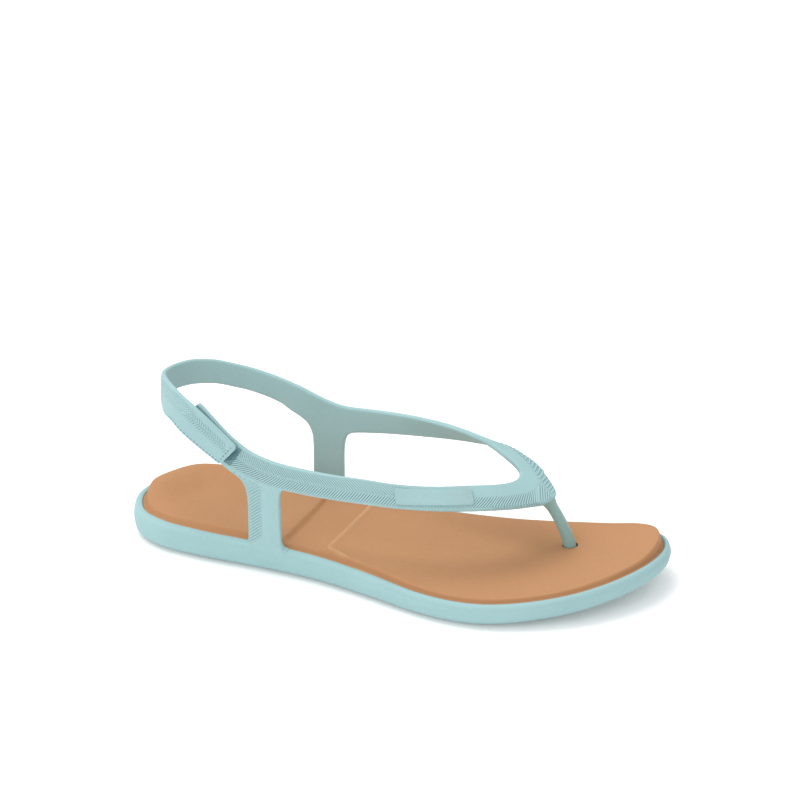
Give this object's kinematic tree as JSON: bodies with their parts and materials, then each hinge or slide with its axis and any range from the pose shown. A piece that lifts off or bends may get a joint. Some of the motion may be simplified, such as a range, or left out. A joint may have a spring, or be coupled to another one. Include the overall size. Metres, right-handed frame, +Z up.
{
  "type": "strappy sport sandal",
  "caption": "Right-foot thong sandal: contoured footbed in a moulded sole, strap upper with side uprights, toe post, and a heel strap closed with hook and loop.",
  "frame": {"origin": "middle of the footprint's bounding box, on the ground", "axes": "+X to the toes, +Y to the inner (medial) side of the right foot, +Z up"},
  "size_m": [0.258, 0.1004, 0.0838],
  "materials": {
    "sole_foam": "matte moulded foam, pale aqua, very fine skin grain",
    "outsole_rubber": "matte rubber, slightly deeper aqua, fine tread",
    "footbed_foam": "matte moulded foam, tan, fine grain",
    "strap_elastomer": "matte to satin moulded elastomer, pale aqua, fine herringbone relief outside, smooth inside",
    "post_elastomer": "satin elastomer, greyer aqua",
    "washer_plastic": "natural white moulded plastic",
    "hook_tape": "hook tape, dark teal",
    "loop_tape": "brushed loop tape, teal",
    "thread": "twisted polyester thread, aqua",
    "badge_elastomer": "smooth satin elastomer, blank"
  },
  "bodies": {
    "sole_and_upper": {"sole_shell": "sole_foam", "outsole": "outsole_rubber", "footbed": "footbed_foam", "upper": "strap_elastomer", "toe_post": "post_elastomer", "toe_post_washer": "washer_plastic", "hook_pad": "hook_tape", "tab_stitching": "thread", "strap_badge": "badge_elastomer"},
    "heel_loop": {"heel_strap": "strap_elastomer"},
    "flap": {"closure_flap": "strap_elastomer", "loop_pad": "loop_tape", "flap_stitching": "thread"}
  },
  "joints": [
    {"name": "heel_strap_swing", "type": "hinge", "parent": "sole_and_upper", "child": "heel_loop", "pos_m": [-0.0937, 0.02372, 0.068], "axis": [0, 0, -1], "range_deg": [0, 60], "stiffness_Nm_per_rad": 0.02},
    {"name": "closure_peel", "type": "hinge", "parent": "heel_loop", "child": "flap", "pos_m": [-0.09139, -0.03703, 0.0746], "axis": [-0.4418, 0.1489, -0.8847], "range_deg": [0, 110], "stiffness_Nm_per_rad": 0.01}
  ]
}
